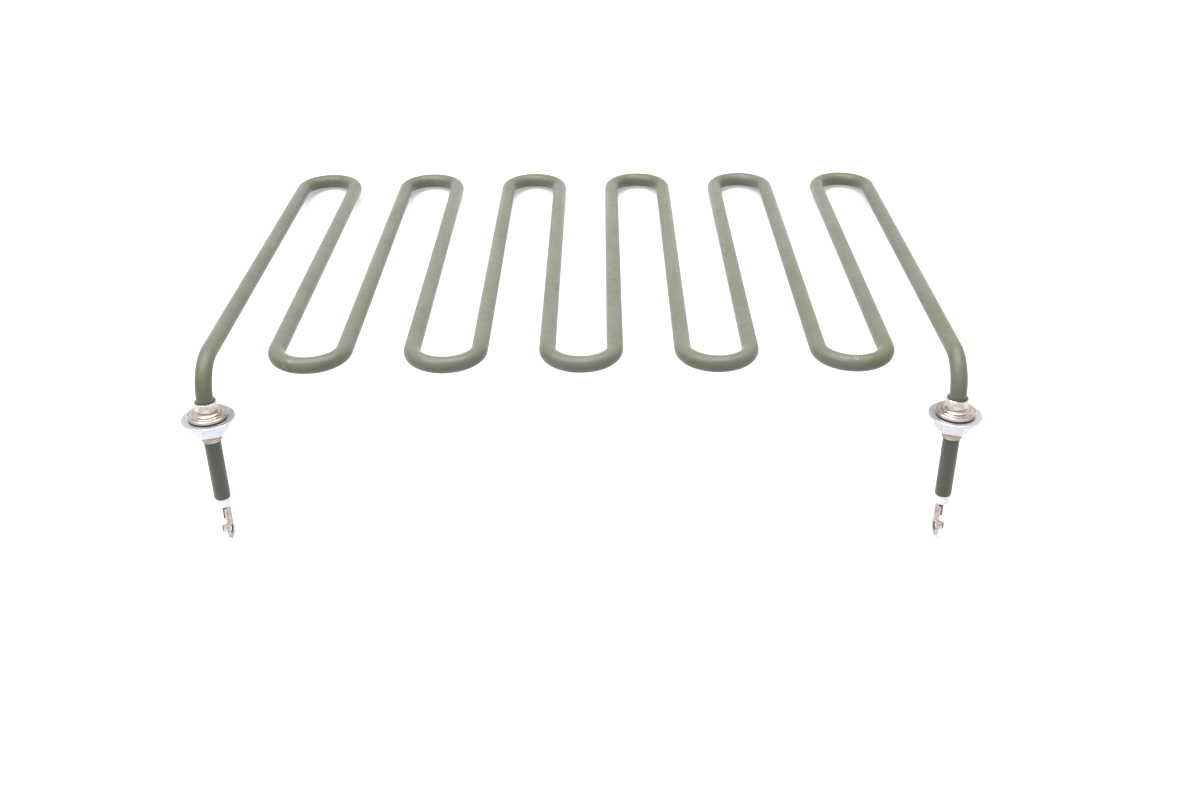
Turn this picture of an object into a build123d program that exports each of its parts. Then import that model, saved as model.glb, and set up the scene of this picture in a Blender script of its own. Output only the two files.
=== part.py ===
"""Tubular heating element: one long steel tube bent into twelve limbs, with a threaded bush on each leg.

Every piece is modelled in the element's own frame. The limbs lie in the XY plane and run along Y,
the near return bends are centred on y = 0, and the two legs drop along -Z.
The whole element is then laid as it rests on a bench: on its two terminal tabs and its far bends.
All sizes are in millimetres.
"""

from build123d import *
import os
from math import asin, atan2, cos, degrees, hypot, radians, sin, tan

os.makedirs("parts", exist_ok=True)

# Bent tube
tube_od = 8.0
tube_wall = 0.8
limb_count = 12
limb_pitch = 32.3
bend_spacing = 220.0  # near bend centres to far bend centres
leg_bend_radius = 17.0
leg_setback = 1.5  # the outer limbs run on this far past the near bend centres
sheath_drop = 71.5  # limb centreline down to the open end of each leg
sheath_end_chamfer = 0.5

# Heating core
coil_od = 3.2
core_gap = 0.05  # round the packing and round the coil
pin_od = 2.5
pin_bend_gap = 4.5  # from the leg's bend to the inner end of the pin
pin_stickout = 12.5  # past the open end of the sheath
pin_flat_depth = 0.3  # the flat that the terminal tab is welded to
pin_hole_clearance = 0.1
seal_length = 5.0

# Ceramic end bead
bead_od = 7.2
bead_length = 5.0
bead_edge_radius = 0.8
spigot_length = 3.0
spigot_clearance = 0.1

# Turned bush with a threaded shank
collar_drop = 17.2  # limb centreline down to the mouth of the collar
collar_od = 10.4
collar_length = 6.2
collar_mouth = 0.6
bush_clearance = 0.1
flange_od = 19.0
flange_thickness = 2.0
flange_root_radius = 1.2
flange_edge_chamfer = 0.3
thread_od = 10.0
thread_chamfer = 0.7
shank_length = 13.5

# Gasket, washer and nut
thread_clearance = 0.15
gasket_inset = 0.2  # from the flange's edge in to the gasket's
gasket_thickness = 0.6
washer_od = 25.0
washer_thickness = 1.0
washer_edge_chamfer = 0.2
nut_across_flats = 16.0
nut_height = 8.2
nut_corner_angle = 30.0
left_nut_turn = 25.0  # where each nut stopped when it was tightened
right_nut_turn = -15.0

# Stamped terminal tab with two ears beside its screw hole
tab_thickness = 0.8
tab_stem_length = 13.5  # from the top of the tab to the centre of its screw hole
tab_hole_od = 4.2
tab_end_radius = 4.7
tab_stem_width = 7.6
tab_top_gap = 0.8  # between the bead and the top of the tab
tab_pad_height = 5.8  # from the hole's centre up to the shoulders
tab_shoulder_radius = 0.6
ear_length = 4.4
ear_lift = 3.2  # from the hole's centre up to the middle of the ears
ear_height = 2.2
ear_corner_radius = 0.8

# Places worked out from the sizes above
tube_radius = tube_od / 2
bore_radius = tube_radius - tube_wall
bend_radius = limb_pitch / 2
leg_x = (limb_count - 1) * limb_pitch / 2
leg_y = -leg_setback - leg_bend_radius
packing_drop = sheath_drop - spigot_length - seal_length
pin_end_drop = sheath_drop + pin_stickout
coil_drop = leg_bend_radius + pin_bend_gap
pin_length = pin_end_drop - coil_drop
flange_drop = collar_drop + collar_length + flange_thickness
washer_drop = flange_drop + gasket_thickness
nut_drop = washer_drop + washer_thickness
tab_top_drop = sheath_drop + bead_length + tab_top_gap
tab_hole_drop = tab_top_drop + tab_stem_length
tab_face = pin_od / 2 - pin_flat_depth

# The rest: a bench that touches the tabs' round ends and the tube at the crowns of the far bends
reach = bend_spacing + bend_radius - leg_y
lean = degrees(
    atan2(tab_hole_drop, reach)
    + asin((tab_end_radius - tube_radius) / hypot(tab_hole_drop, reach))
)
front_edge = leg_y * cos(radians(lean)) - tab_hole_drop * sin(radians(lean)) - tab_end_radius
back_edge = (bend_spacing + bend_radius) * cos(radians(lean)) + tube_radius
bench_drop = (bend_spacing + bend_radius) * sin(radians(lean)) + tube_radius
rest = Location((0, -(front_edge + back_edge) / 2, bench_drop), (-lean, 0, 0))

# The two ends of the element: place of the leg, the way from there to the middle, turn of the nut
ends = {"left": (-leg_x, 1, left_nut_turn), "right": (leg_x, -1, right_nut_turn)}


def keep(part, name):
    """Lay a finished piece as it rests, label it and write it."""
    placed = part.moved(rest)
    placed.label = name
    export_step(placed, f"parts/{name}.step")


def leg_plane(x, drop):
    """A level plane on a leg's centreline, at a depth below the limbs."""
    return Plane(origin=(x, leg_y, -drop))


def element_path(drop):
    """The tube's centreline, from one leg to the other, starting and ending at a depth on the legs."""
    bend_start = (-leg_x, -leg_setback)
    with BuildLine() as path:
        Line((-leg_x, leg_y, -drop), (-leg_x, leg_y, -leg_bend_radius))
        TangentArc((-leg_x, leg_y, -leg_bend_radius), bend_start, tangent=(0, 0, 1))
        limb_start = -leg_setback
        for limb in range(limb_count):
            x = -leg_x + limb * limb_pitch
            going_out = limb % 2 == 0
            last = limb == limb_count - 1
            limb_end = bend_spacing if going_out else (-leg_setback if last else 0)
            Line((x, limb_start), (x, limb_end))
            if not last:
                turn = -180 if going_out else 180
                CenterArc((x + bend_radius, limb_end), bend_radius, 180, turn)
            limb_start = limb_end
        TangentArc((leg_x, -leg_setback), (leg_x, leg_y, -leg_bend_radius), tangent=(0, -1, 0))
        Line((leg_x, leg_y, -leg_bend_radius), (leg_x, leg_y, -drop))
    return path.wire()


def make_sheath():
    """The seamless tube that everything else is built into or onto."""
    with BuildPart() as sheath:
        with BuildSketch(leg_plane(-leg_x, sheath_drop)):
            Circle(tube_radius)
            Circle(bore_radius, mode=Mode.SUBTRACT)
        sweep(path=element_path(sheath_drop))
        open_ends = sheath.faces().filter_by(Plane.XY).sort_by(Axis.Z)[:2]
        rims = open_ends.edges().group_by(SortBy.RADIUS)[-1]
        chamfer(rims, sheath_end_chamfer)
    return sheath.part


def make_packing():
    """Magnesia powder, swaged hard round the coil and the inner lengths of the pins."""
    with BuildPart() as packing:
        with BuildSketch(leg_plane(-leg_x, packing_drop)):
            Circle(bore_radius - core_gap)
        sweep(path=element_path(packing_drop))
        with BuildSketch(leg_plane(-leg_x, coil_drop)):
            Circle(coil_od / 2 + core_gap)
        sweep(path=element_path(coil_drop), mode=Mode.SUBTRACT)
        for x in (-leg_x, leg_x):
            with BuildSketch(leg_plane(x, packing_drop)):
                Circle(pin_od / 2 + core_gap)
            extrude(amount=packing_drop - coil_drop, mode=Mode.SUBTRACT)
    return packing.part


def make_coil():
    """The space that the close-wound resistance wire fills, from pin to pin."""
    with BuildPart() as coil:
        with BuildSketch(leg_plane(-leg_x, coil_drop)):
            Circle(coil_od / 2)
        sweep(path=element_path(coil_drop))
    return coil.part


def make_pin(x, inward):
    """A cold pin, flattened at its outer end where the terminal tab is welded on."""
    with BuildPart() as pin:
        with BuildSketch(leg_plane(x, pin_end_drop)):
            Circle(pin_od / 2)
        extrude(amount=pin_length)
        with BuildSketch(leg_plane(x, pin_end_drop)):
            with Locations((inward * (tab_face + pin_od / 2), 0)):
                Rectangle(pin_od, 2 * pin_od)
        extrude(amount=pin_end_drop - tab_top_drop, mode=Mode.SUBTRACT)
    return pin.part


def make_seal(x):
    """The moisture seal, a silicone plug between the packing and the bead."""
    with BuildPart() as seal:
        with BuildSketch(leg_plane(x, packing_drop)):
            Circle(bore_radius)
            Circle(pin_od / 2, mode=Mode.SUBTRACT)
        extrude(amount=-seal_length)
    return seal.part


def make_bead(x):
    """The ceramic bead: a spigot inside the tube and a rounded head outside it."""
    with BuildPart() as bead:
        with BuildSketch(leg_plane(x, sheath_drop)):
            Circle(bead_od / 2)
        extrude(amount=-bead_length)
        fillet(bead.faces().sort_by(Axis.Z)[0].edges(), bead_edge_radius)
        with BuildSketch(leg_plane(x, sheath_drop)):
            Circle(bore_radius - spigot_clearance)
        extrude(amount=spigot_length)
        with BuildSketch(leg_plane(x, sheath_drop + bead_length)):
            Circle(pin_od / 2 + pin_hole_clearance)
        extrude(amount=bead_length + spigot_length, mode=Mode.SUBTRACT)
    return bead.part


def make_tab(x, inward):
    """The flat terminal: a stem welded to the pin and a round-ended pad with ears beside its hole."""
    welded_x = x + inward * tab_face
    face = Plane((welded_x, leg_y, -tab_hole_drop), x_dir=(0, 1, 0), z_dir=(1, 0, 0))
    with BuildPart() as tab:
        with BuildSketch(face) as outline:
            Circle(tab_end_radius)
            Rectangle(2 * tab_end_radius, tab_pad_height, align=(Align.CENTER, Align.MIN))
            Rectangle(tab_stem_width, tab_stem_length, align=(Align.CENTER, Align.MIN))
            shoulders = outline.vertices().group_by(Axis.Y)[-2].sort_by(Axis.X)
            fillet((shoulders[0], shoulders[-1]), tab_shoulder_radius)
            Circle(tab_hole_od / 2, mode=Mode.SUBTRACT)
        extrude(amount=inward * tab_thickness)
        for side in (-1, 1):
            edge = (welded_x + inward * tab_thickness, leg_y + side * tab_end_radius, -tab_hole_drop)
            with BuildSketch(Plane(edge, x_dir=(-inward, 0, 0), z_dir=(0, -side, 0))) as ear:
                up = -inward * side
                with Locations((0, up * ear_lift)):
                    Rectangle(tab_thickness + ear_height, ear_length, align=(Align.MIN, Align.CENTER))
                fillet(ear.vertices().group_by(Axis.X)[-1], ear_corner_radius)
            extrude(amount=tab_thickness)
    return tab.part


def make_bush(x):
    """The turned bush: a thin collar on the tube, a round flange and a threaded shank."""
    with BuildPart() as bush:
        with BuildSketch(leg_plane(x, flange_drop)):
            Circle(flange_od / 2)
        extrude(amount=flange_thickness)
        chamfer(bush.faces().sort_by(Axis.Z)[-1].edges(), flange_edge_chamfer)
        with BuildSketch(leg_plane(x, flange_drop - flange_thickness)):
            Circle(collar_od / 2)
        extrude(amount=collar_length)
        root = bush.edges().filter_by(GeomType.CIRCLE).filter_by(
            lambda e: abs(e.radius - collar_od / 2) < 0.01
        )
        fillet(root.sort_by(Axis.Z)[0], flange_root_radius)
        with BuildSketch(leg_plane(x, flange_drop)):
            Circle(thread_od / 2)
        extrude(amount=-shank_length)
        chamfer(bush.faces().sort_by(Axis.Z)[0].edges(), thread_chamfer)
        with BuildSketch(leg_plane(x, flange_drop + shank_length)):
            Circle(tube_radius + bush_clearance)
        extrude(amount=shank_length + flange_thickness + collar_length, mode=Mode.SUBTRACT)
        mouth = bush.faces().sort_by(Axis.Z)[-1].edges().sort_by(SortBy.RADIUS)[0]
        chamfer(mouth, collar_mouth)
    return bush.part


def make_gasket(x):
    """The thin fibre gasket under the flange."""
    with BuildPart() as gasket:
        with BuildSketch(leg_plane(x, flange_drop)):
            Circle(flange_od / 2 - gasket_inset)
            Circle(thread_od / 2 + thread_clearance, mode=Mode.SUBTRACT)
        extrude(amount=-gasket_thickness)
    return gasket.part


def make_washer(x):
    """The wide plain washer between the gasket and the nut."""
    with BuildPart() as washer:
        with BuildSketch(leg_plane(x, washer_drop)):
            Circle(washer_od / 2)
            Circle(thread_od / 2 + thread_clearance, mode=Mode.SUBTRACT)
        extrude(amount=-washer_thickness)
        rims = washer.edges().filter_by(GeomType.CIRCLE).group_by(SortBy.RADIUS)[-1]
        chamfer(rims, washer_edge_chamfer)
    return washer.part


def make_nut(x, turn):
    """The hexagon nut, with the corners turned off both faces."""
    corner_radius = nut_across_flats / 2 / cos(radians(30))
    corner_drop = (corner_radius - nut_across_flats / 2) * tan(radians(nut_corner_angle))
    with BuildPart() as nut:
        with BuildSketch(leg_plane(x, nut_drop)):
            RegularPolygon(corner_radius, 6, rotation=turn)
        extrude(amount=-nut_height)
        with BuildSketch(Plane((x, leg_y, -nut_drop), x_dir=(1, 0, 0), z_dir=(0, 1, 0))):
            with BuildLine():
                Polyline(
                    (0, 0),
                    (nut_across_flats / 2, 0),
                    (corner_radius, corner_drop),
                    (corner_radius, nut_height - corner_drop),
                    (nut_across_flats / 2, nut_height),
                    (0, nut_height),
                    close=True,
                )
            make_face()
        revolve(axis=Axis((x, leg_y, 0), (0, 0, 1)), mode=Mode.INTERSECT)
        with BuildSketch(leg_plane(x, nut_drop)):
            Circle(thread_od / 2 + thread_clearance)
        extrude(amount=-nut_height, mode=Mode.SUBTRACT)
    return nut.part


keep(make_sheath(), "sheath")
keep(make_packing(), "magnesia_packing")
keep(make_coil(), "resistance_coil")
for end, (x, inward, nut_turn) in ends.items():
    keep(make_pin(x, inward), f"terminal_pin_{end}")
    keep(make_seal(x), f"end_seal_{end}")
    keep(make_bead(x), f"ceramic_bead_{end}")
    keep(make_tab(x, inward), f"terminal_tab_{end}")
    keep(make_bush(x), f"threaded_bush_{end}")
    keep(make_gasket(x), f"gasket_{end}")
    keep(make_washer(x), f"washer_{end}")
    keep(make_nut(x, nut_turn), f"hex_nut_{end}")
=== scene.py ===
# %% [markdown]
# # Dressing a bent tubular heating element
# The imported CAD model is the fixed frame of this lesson: it says where everything is. We build
# finer pieces over it, give each a finish made of nodes, and light them on a plain white table.
# Every number below is in metres once it has been multiplied by mm.

# %% Load the frame
from math import asin, atan2, cos, hypot, pi, radians, sin, tan

import bmesh
import bpy
from mathutils import Matrix, Vector


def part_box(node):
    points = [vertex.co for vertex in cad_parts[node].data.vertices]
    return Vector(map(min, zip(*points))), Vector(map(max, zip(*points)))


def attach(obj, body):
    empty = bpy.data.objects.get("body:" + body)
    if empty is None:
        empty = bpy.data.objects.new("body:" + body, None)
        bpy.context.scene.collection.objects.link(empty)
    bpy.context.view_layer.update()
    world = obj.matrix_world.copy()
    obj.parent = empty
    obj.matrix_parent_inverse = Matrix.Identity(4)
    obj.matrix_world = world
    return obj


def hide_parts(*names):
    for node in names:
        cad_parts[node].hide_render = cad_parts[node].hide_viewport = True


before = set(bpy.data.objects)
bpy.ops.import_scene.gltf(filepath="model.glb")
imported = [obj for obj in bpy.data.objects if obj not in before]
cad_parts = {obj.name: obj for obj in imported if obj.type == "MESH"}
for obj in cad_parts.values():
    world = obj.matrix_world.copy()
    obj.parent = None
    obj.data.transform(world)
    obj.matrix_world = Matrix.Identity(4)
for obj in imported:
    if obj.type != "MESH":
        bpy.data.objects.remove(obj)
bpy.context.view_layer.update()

print("nodes in the frame:", len(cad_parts))

# %% [markdown]
# The camera comes first, so that each piece can be judged from the same place. It stands about
# seven tenths of a metre away and looks down at a little under fifty degrees.

# %% Camera
mm = 0.001
bpy.ops.object.select_all(action="DESELECT")
stand = (10.15 * mm, -495.53 * mm, 522.95 * mm)
tilt, roll, heading = radians(40.6049), radians(0.2614), radians(-0.119)
bpy.ops.object.camera_add(location=stand, rotation=(tilt, roll, heading))
camera = bpy.context.object
camera.name = "table_camera"
camera.data.lens = 37.63
camera.data.sensor_width = 36
camera.data.clip_start = 0.01
bpy.context.scene.camera = camera
print("camera lens:", camera.data.lens)

# %% [markdown]
# The element is one steel tube with twelve limbs and two legs. On each leg sit a turned bush, a
# gasket, a washer and a nut, and at its end a ceramic bead, a pin and a stamped tab. It is easiest
# to build all of it square to the axes, with the limbs level, and to lean it over at the end, so
# these sizes are given in the element's own frame: heights run down the legs from the limbs.

# %% Sizes of the tube
tube_radius = 4.0 * mm
tube_wall = 0.8 * mm
limb_count = 12
limb_pitch = 32.3 * mm
bend_spacing = 220.0 * mm
leg_bend_radius = 17.0 * mm
leg_setback = 1.5 * mm
sheath_drop = 71.5 * mm
bend_radius = limb_pitch / 2
leg_x = (limb_count - 1) * limb_pitch / 2
leg_y = -leg_setback - leg_bend_radius
print("legs are", round(2 * leg_x / mm, 1), "mm apart")

# %% Sizes of the fittings
pin_radius = 1.25 * mm
pin_flat = 0.95 * mm
pin_top, pin_end = -21.5 * mm, -84.0 * mm
bead_radius, bead_bottom = 3.6 * mm, -76.5 * mm
spigot_radius, spigot_top = 3.1 * mm, -68.5 * mm
bead_hole = 1.35 * mm
collar_top, collar_radius = -17.2 * mm, 5.2 * mm
flange_top, flange_bottom, flange_radius = -23.4 * mm, -25.4 * mm, 9.5 * mm
bush_bore, shank_bottom = 4.1 * mm, -38.9 * mm
thread_radius, thread_pitch, thread_depth = 5.0 * mm, 1.0 * mm, 0.58 * mm
clear_bore = 5.15 * mm
gasket_bottom, gasket_radius = -26.0 * mm, 9.3 * mm
washer_bottom, washer_radius = -27.0 * mm, 12.5 * mm
nut_bottom, nut_flat = -35.2 * mm, 8.0 * mm
nut_turns = {"left": 25.0, "right": -15.0}
tab_top, hole_height, hole_radius = -77.3 * mm, -90.8 * mm, 2.1 * mm
tab_round, stem_half, tab_thickness = 4.7 * mm, 3.8 * mm, 0.8 * mm
ear_bottom, ear_top, ear_tip = 1.0 * mm, 5.4 * mm, -1.25 * mm
print("washers are", round(2 * washer_radius / mm, 1), "mm wide")

# %% [markdown]
# The element rests on the round ends of its two tabs and on the crowns of its far bends. Two
# triangles give the lean. Every finished piece is carried from the element's frame to the table by
# this one matrix, so nothing is fitted by eye.

# %% The lean
reach = bend_spacing + bend_radius - leg_y
lean = atan2(-hole_height, reach) + asin(
    (tab_round - tube_radius) / hypot(-hole_height, reach)
)
front = leg_y * cos(lean) + hole_height * sin(lean) - tab_round
back = (bend_spacing + bend_radius) * cos(lean) + tube_radius
height = (bend_spacing + bend_radius) * sin(lean) + tube_radius
table_place = Vector((0, -(front + back) / 2, height))
rest = Matrix.Translation(table_place) @ Matrix.Rotation(-lean, 4, "X")
legs = {"left": Vector((-leg_x, leg_y, 0)), "right": Vector((leg_x, leg_y, 0))}
print("lean in degrees:", round(lean * 180 / pi, 3))

# %% [markdown]
# A few moves come back in every piece. We keep each as a small helper: clearing the selection,
# choosing what to work on by its place, applying a modifier, and cutting one solid with another.


# %% Helpers for selecting
def clear():
    """Back to object mode with nothing selected."""
    if bpy.context.mode != "OBJECT":
        bpy.ops.object.mode_set(mode="OBJECT")
    bpy.ops.object.select_all(action="DESELECT")


def take(piece):
    """Make one piece the selected and active one."""
    clear()
    piece.select_set(True)
    bpy.context.view_layer.objects.active = piece


def pick(piece, kind, test):
    """In edit mode, select edges by a test on both their ends, or faces by one on their middle."""
    bpy.ops.mesh.select_mode(type=kind)
    bpy.ops.mesh.select_all(action="DESELECT")
    form = bmesh.from_edit_mesh(piece.data)
    if kind == "EDGE":
        found = [e for e in form.edges if all(test(v.co) for v in e.verts)]
    else:
        found = [f for f in form.faces if test(f.calc_center_median())]
    for part in found:
        part.select_set(True)
    bmesh.update_edit_mesh(piece.data)
    return len(found)


# %% Helpers for finishing a mesh
def close_up(piece):
    """Merge doubled points and turn every face outwards."""
    take(piece)
    bpy.ops.object.mode_set(mode="EDIT")
    bpy.ops.mesh.select_all(action="SELECT")
    bpy.ops.mesh.remove_doubles(threshold=0.001 * mm)
    bpy.ops.mesh.normals_make_consistent(inside=False)
    bpy.ops.object.mode_set(mode="OBJECT")


def settle(piece):
    """Apply a piece's place, turn and scale, so that its object sits at the origin."""
    take(piece)
    bpy.ops.object.transform_apply(location=True, rotation=True, scale=True)


def soften(piece, width, over, segments=2):
    """Round every edge sharper than an angle in degrees, and apply it."""
    take(piece)
    rounding = piece.modifiers.new("rounding", "BEVEL")
    rounding.width = width
    rounding.segments = segments
    rounding.limit_method = "ANGLE"
    rounding.angle_limit = radians(over)
    bpy.ops.object.modifier_apply(modifier=rounding.name)


def combine(piece, other, how):
    """Cut, join or trim a piece with another solid, which is used up."""
    close_up(other)
    take(piece)
    cut = piece.modifiers.new("cut", "BOOLEAN")
    cut.operation = how
    cut.solver = "EXACT"
    cut.object = other
    bpy.ops.object.modifier_apply(modifier=cut.name)
    bpy.data.objects.remove(other)
    close_up(piece)


# %% [markdown]
# Bushes, washers, beads and pins are all turned: half of their cross-section, spun round an axis.
# We draw that half as a closed chain of points, by extruding one vertex from corner to corner, and
# spin the chain. The same drawing helper gives the outline of the stamped tab.


# %% Helpers for drawing and turning
def draw(name, points):
    """Extrude one vertex along a closed chain of points and fill it with a face."""
    corners = [Vector(p) for p in points]
    clear()
    bpy.ops.mesh.primitive_plane_add(size=mm, location=corners[0])
    piece = bpy.context.object
    piece.name = name
    bpy.ops.object.mode_set(mode="EDIT")
    bpy.ops.mesh.select_mode(type="VERT")
    bpy.ops.mesh.select_all(action="SELECT")
    bpy.ops.mesh.merge(type="CENTER")
    for before, after in zip(corners, corners[1:]):
        bpy.ops.mesh.extrude_vertices_move(
            TRANSFORM_OT_translate={"value": after - before}
        )
    bpy.ops.mesh.select_all(action="SELECT")
    bpy.ops.mesh.edge_face_add()
    settle(piece)
    return piece


def turned(name, outline, steps=64):
    """Spin a closed outline of radius and height points round the Z axis."""
    piece = draw(name, [(radius, 0, z) for radius, z in outline])
    bpy.ops.object.mode_set(mode="EDIT")
    bpy.ops.mesh.select_all(action="SELECT")
    bpy.ops.mesh.delete(type="ONLY_FACE")
    bpy.ops.mesh.select_all(action="SELECT")
    bpy.ops.mesh.spin(steps=steps, angle=2 * pi, center=(0, 0, 0), axis=(0, 0, 1))
    close_up(piece)
    return piece


def arc(centre, radius, start, end, count=6):
    """Points of a circular arc in an outline, angles in degrees."""
    turns = [radians(start + (end - start) * i / count) for i in range(count + 1)]
    return [(centre[0] + radius * cos(a), centre[1] + radius * sin(a)) for a in turns]


# %% [markdown]
# Both legs carry the same pieces. Each is made once on an axis through the origin, and copied to
# the two legs with its own mesh. The right tab is the left one mirrored, and a mirror turns a
# mesh inside out, so its faces are turned back.


# %% Helpers for placing a piece
smooth_under = radians(35)


def put_on(piece, node, material):
    """Lay a piece at rest in the place of a CAD node with its finish, hide the node, and print how far off
    its box is.
    """
    piece.data.transform(rest)
    take(piece)
    bpy.ops.object.shade_smooth_by_angle(angle=smooth_under)
    piece.data.materials.clear()
    piece.data.materials.append(material)
    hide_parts(node)
    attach(piece, "root")
    low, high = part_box(node)
    mine = [Vector(v.co) for v in piece.data.vertices]
    off = max(
        max(abs(min(p[i] for p in mine) - low[i]) for i in range(3)),
        max(abs(max(p[i] for p in mine) - high[i]) for i in range(3)),
    )
    piece.data.calc_loop_triangles()
    triangles = len(piece.data.loop_triangles)
    print(piece.name, triangles, "triangles, box off by", round(off / mm, 3), "mm")


def put_on_legs(master, name, node, material, turns=None, mirrored=False):
    """Copy a piece made on the Z axis to both legs."""
    for end, foot in legs.items():
        copy = bpy.data.objects.new(f"{name}_{end}", master.data.copy())
        bpy.context.scene.collection.objects.link(copy)
        turn = Matrix.Rotation(radians(turns[end]) if turns else 0, 4, "Z")
        flip = -1 if mirrored and end == "right" else 1
        copy.data.transform(Matrix.Translation(foot) @ turn @ Matrix.Diagonal((flip, 1, 1, 1)))
        if flip < 0:
            close_up(copy)
        put_on(copy, f"{node}_{end}", material)
    bpy.data.objects.remove(master)


# %% [markdown]
# Finishes are made of shader nodes. A small helper adds a node and fills its sockets, and colours
# are written as they look on a screen and turned into the linear values that the renderer uses.


# %% Helpers for nodes
def tone(red, green, blue):
    """A colour written as screen values from 0 to 255."""
    linear = []
    for value in (red / 255, green / 255, blue / 255):
        linear.append(value / 12.92 if value <= 0.04045 else ((value + 0.055) / 1.055) ** 2.4)
    return (*linear, 1.0)


def add(tree, kind, sockets=None, **settings):
    """Add a node, set its options, and fill its sockets with values or with links."""
    node = tree.nodes.new(kind)
    for option, value in settings.items():
        setattr(node, option, value)
    for socket, value in (sockets or {}).items():
        if isinstance(value, bpy.types.NodeSocket):
            tree.links.new(value, node.inputs[socket])
        else:
            node.inputs[socket].default_value = value
    return node


def ramp(tree, value, start, end, **settings):
    """A mask that is 0 where the value is at its start and 1 where it is at its end."""
    sockets = {"Value": value, "From Min": start, "From Max": end}
    return add(tree, "ShaderNodeMapRange", sockets, **settings).outputs["Result"]


def mix(tree, mask, first, second):
    """Mix two colours by a mask."""
    node = add(tree, "ShaderNodeMix", {0: mask, 6: first, 7: second}, data_type="RGBA")
    return node.outputs[2]


def span(tree, value, low, high):
    """Carry a value from 0..1 to another range."""
    node = add(tree, "ShaderNodeMapRange", {"Value": value, "To Min": low, "To Max": high})
    return node.outputs["Result"]


def new_group(name, inputs, outputs):
    """An empty node group with named inputs and outputs."""
    group = bpy.data.node_groups.new(name, "ShaderNodeTree")
    for title, kind, start in inputs:
        socket = group.interface.new_socket(title, in_out="INPUT", socket_type=kind)
        if start is not None:
            socket.default_value = start
    for title in outputs:
        group.interface.new_socket(title, in_out="OUTPUT", socket_type="NodeSocketFloat")
    entry = group.nodes.new("NodeGroupInput")
    leave = group.nodes.new("NodeGroupOutput")
    return group, entry.outputs, leave.inputs


def use(tree, group, sockets):
    """Place a node group in a material."""
    return add(tree, "ShaderNodeGroup", sockets, node_tree=group).outputs


# %% [markdown]
# Three effects return in many finishes, so each is a node group. Clouds are the slow blotches of
# oxide and plating. Specks are the few odd grains and nicks. Worn edges, painted lighter as a
# highlight, are found from how sharply a surface bends. Rings, the fine grooves that a lathe tool
# leaves round the axis of a leg, are on the bush alone, and as a group of their own they keep its
# finish easy to read.

# %% Group: clouds
FLOAT = "NodeSocketFloat"
VECTOR = "NodeSocketVector"
clouds, given, made = new_group(
    "clouds",
    [("Vector", VECTOR, None), ("Scale", FLOAT, 60.0), ("Low", FLOAT, 0.4), ("High", FLOAT, 0.6)],
    ["Mask"],
)
noise = add(
    clouds,
    "ShaderNodeTexNoise",
    {"Vector": given["Vector"], "Scale": given["Scale"], "Detail": 4.0, "Roughness": 0.55},
)
soft_ramp = {"interpolation_type": "SMOOTHSTEP"}
clipped = ramp(clouds, noise.outputs["Fac"], given["Low"], given["High"], **soft_ramp)
clouds.links.new(clipped, made["Mask"])

# %% Group: specks
specks, given, made = new_group(
    "specks",
    [("Vector", VECTOR, None), ("Scale", FLOAT, 400.0), ("Amount", FLOAT, 0.1)],
    ["Mask"],
)
cells = add(specks, "ShaderNodeTexVoronoi", {"Vector": given["Vector"], "Scale": given["Scale"]})
patches = add(
    specks,
    "ShaderNodeTexNoise",
    {"Vector": given["Vector"], "Scale": given["Scale"], "Detail": 2.0},
)
chosen = add(
    specks,
    "ShaderNodeMath",
    {0: patches.outputs["Fac"], 1: given["Amount"]},
    operation="MULTIPLY",
)
small = add(
    specks,
    "ShaderNodeMath",
    {0: cells.outputs["Distance"], 1: chosen.outputs[0]},
    operation="LESS_THAN",
)
specks.links.new(small.outputs[0], made["Mask"])

# %% Group: rings
rings, given, made = new_group(
    "rings",
    [("Vector", VECTOR, None), ("Pitch", FLOAT, 0.3 * mm)],
    ["Height"],
)
parts = add(rings, "ShaderNodeSeparateXYZ", {0: given["Vector"]})
flat = add(rings, "ShaderNodeCombineXYZ", {"X": parts.outputs["X"], "Y": parts.outputs["Y"]})
radius = add(rings, "ShaderNodeVectorMath", {0: flat.outputs[0]}, operation="LENGTH")
out_and_up = {0: radius.outputs["Value"], 1: parts.outputs["Z"]}
along = add(rings, "ShaderNodeMath", out_and_up, operation="ADD")
count = add(rings, "ShaderNodeMath", {0: along.outputs[0], 1: given["Pitch"]}, operation="DIVIDE")
uneven = add(
    rings,
    "ShaderNodeTexNoise",
    {"W": count.outputs[0], "Scale": 1.0, "Detail": 3.0},
    noise_dimensions="1D",
)
rings.links.new(uneven.outputs["Fac"], made["Height"])

# %% Group: worn edges with a painted highlight
worn_highlight, given, made = new_group(
    "worn_edge_highlights",
    [("Vector", VECTOR, None), ("Start", FLOAT, 0.52), ("End", FLOAT, 0.6)],
    ["Mask"],
)
# Sharp edges are taken as worn, and the finishes paint them lighter, as a highlight.
bend = add(worn_highlight, "ShaderNodeNewGeometry")
sharp = ramp(worn_highlight, bend.outputs["Pointiness"], given["Start"], given["End"])
ragged = add(worn_highlight, "ShaderNodeTexNoise", {"Vector": given["Vector"], "Scale": 900.0, "Detail": 3.0})
edge = add(worn_highlight, "ShaderNodeMath", {0: sharp, 1: ragged.outputs["Fac"]}, operation="MULTIPLY")
worn_highlight.links.new(edge.outputs[0], made["Mask"])
print("node groups:", [g.name for g in bpy.data.node_groups])


# %% [markdown]
# Each material starts the same way. Object coordinates are read on the table, and a Mapping node
# turns them back into the element's frame. Both legs are alike, so the X coordinate is folded over
# the middle, and a second mapping puts its origin on the axis of the leg.


# %% Helpers for materials
def new_material(name, **plain):
    """A material with its shader, with what never changes set on the shader's own sockets."""
    material = bpy.data.materials.new(name)
    material.use_nodes = True
    tree = material.node_tree
    shader = tree.nodes["Principled BSDF"]
    for socket, value in plain.items():
        shader.inputs[socket.replace("_", " ")].default_value = value
    print("new finish:", name)
    return material, tree, shader


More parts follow.
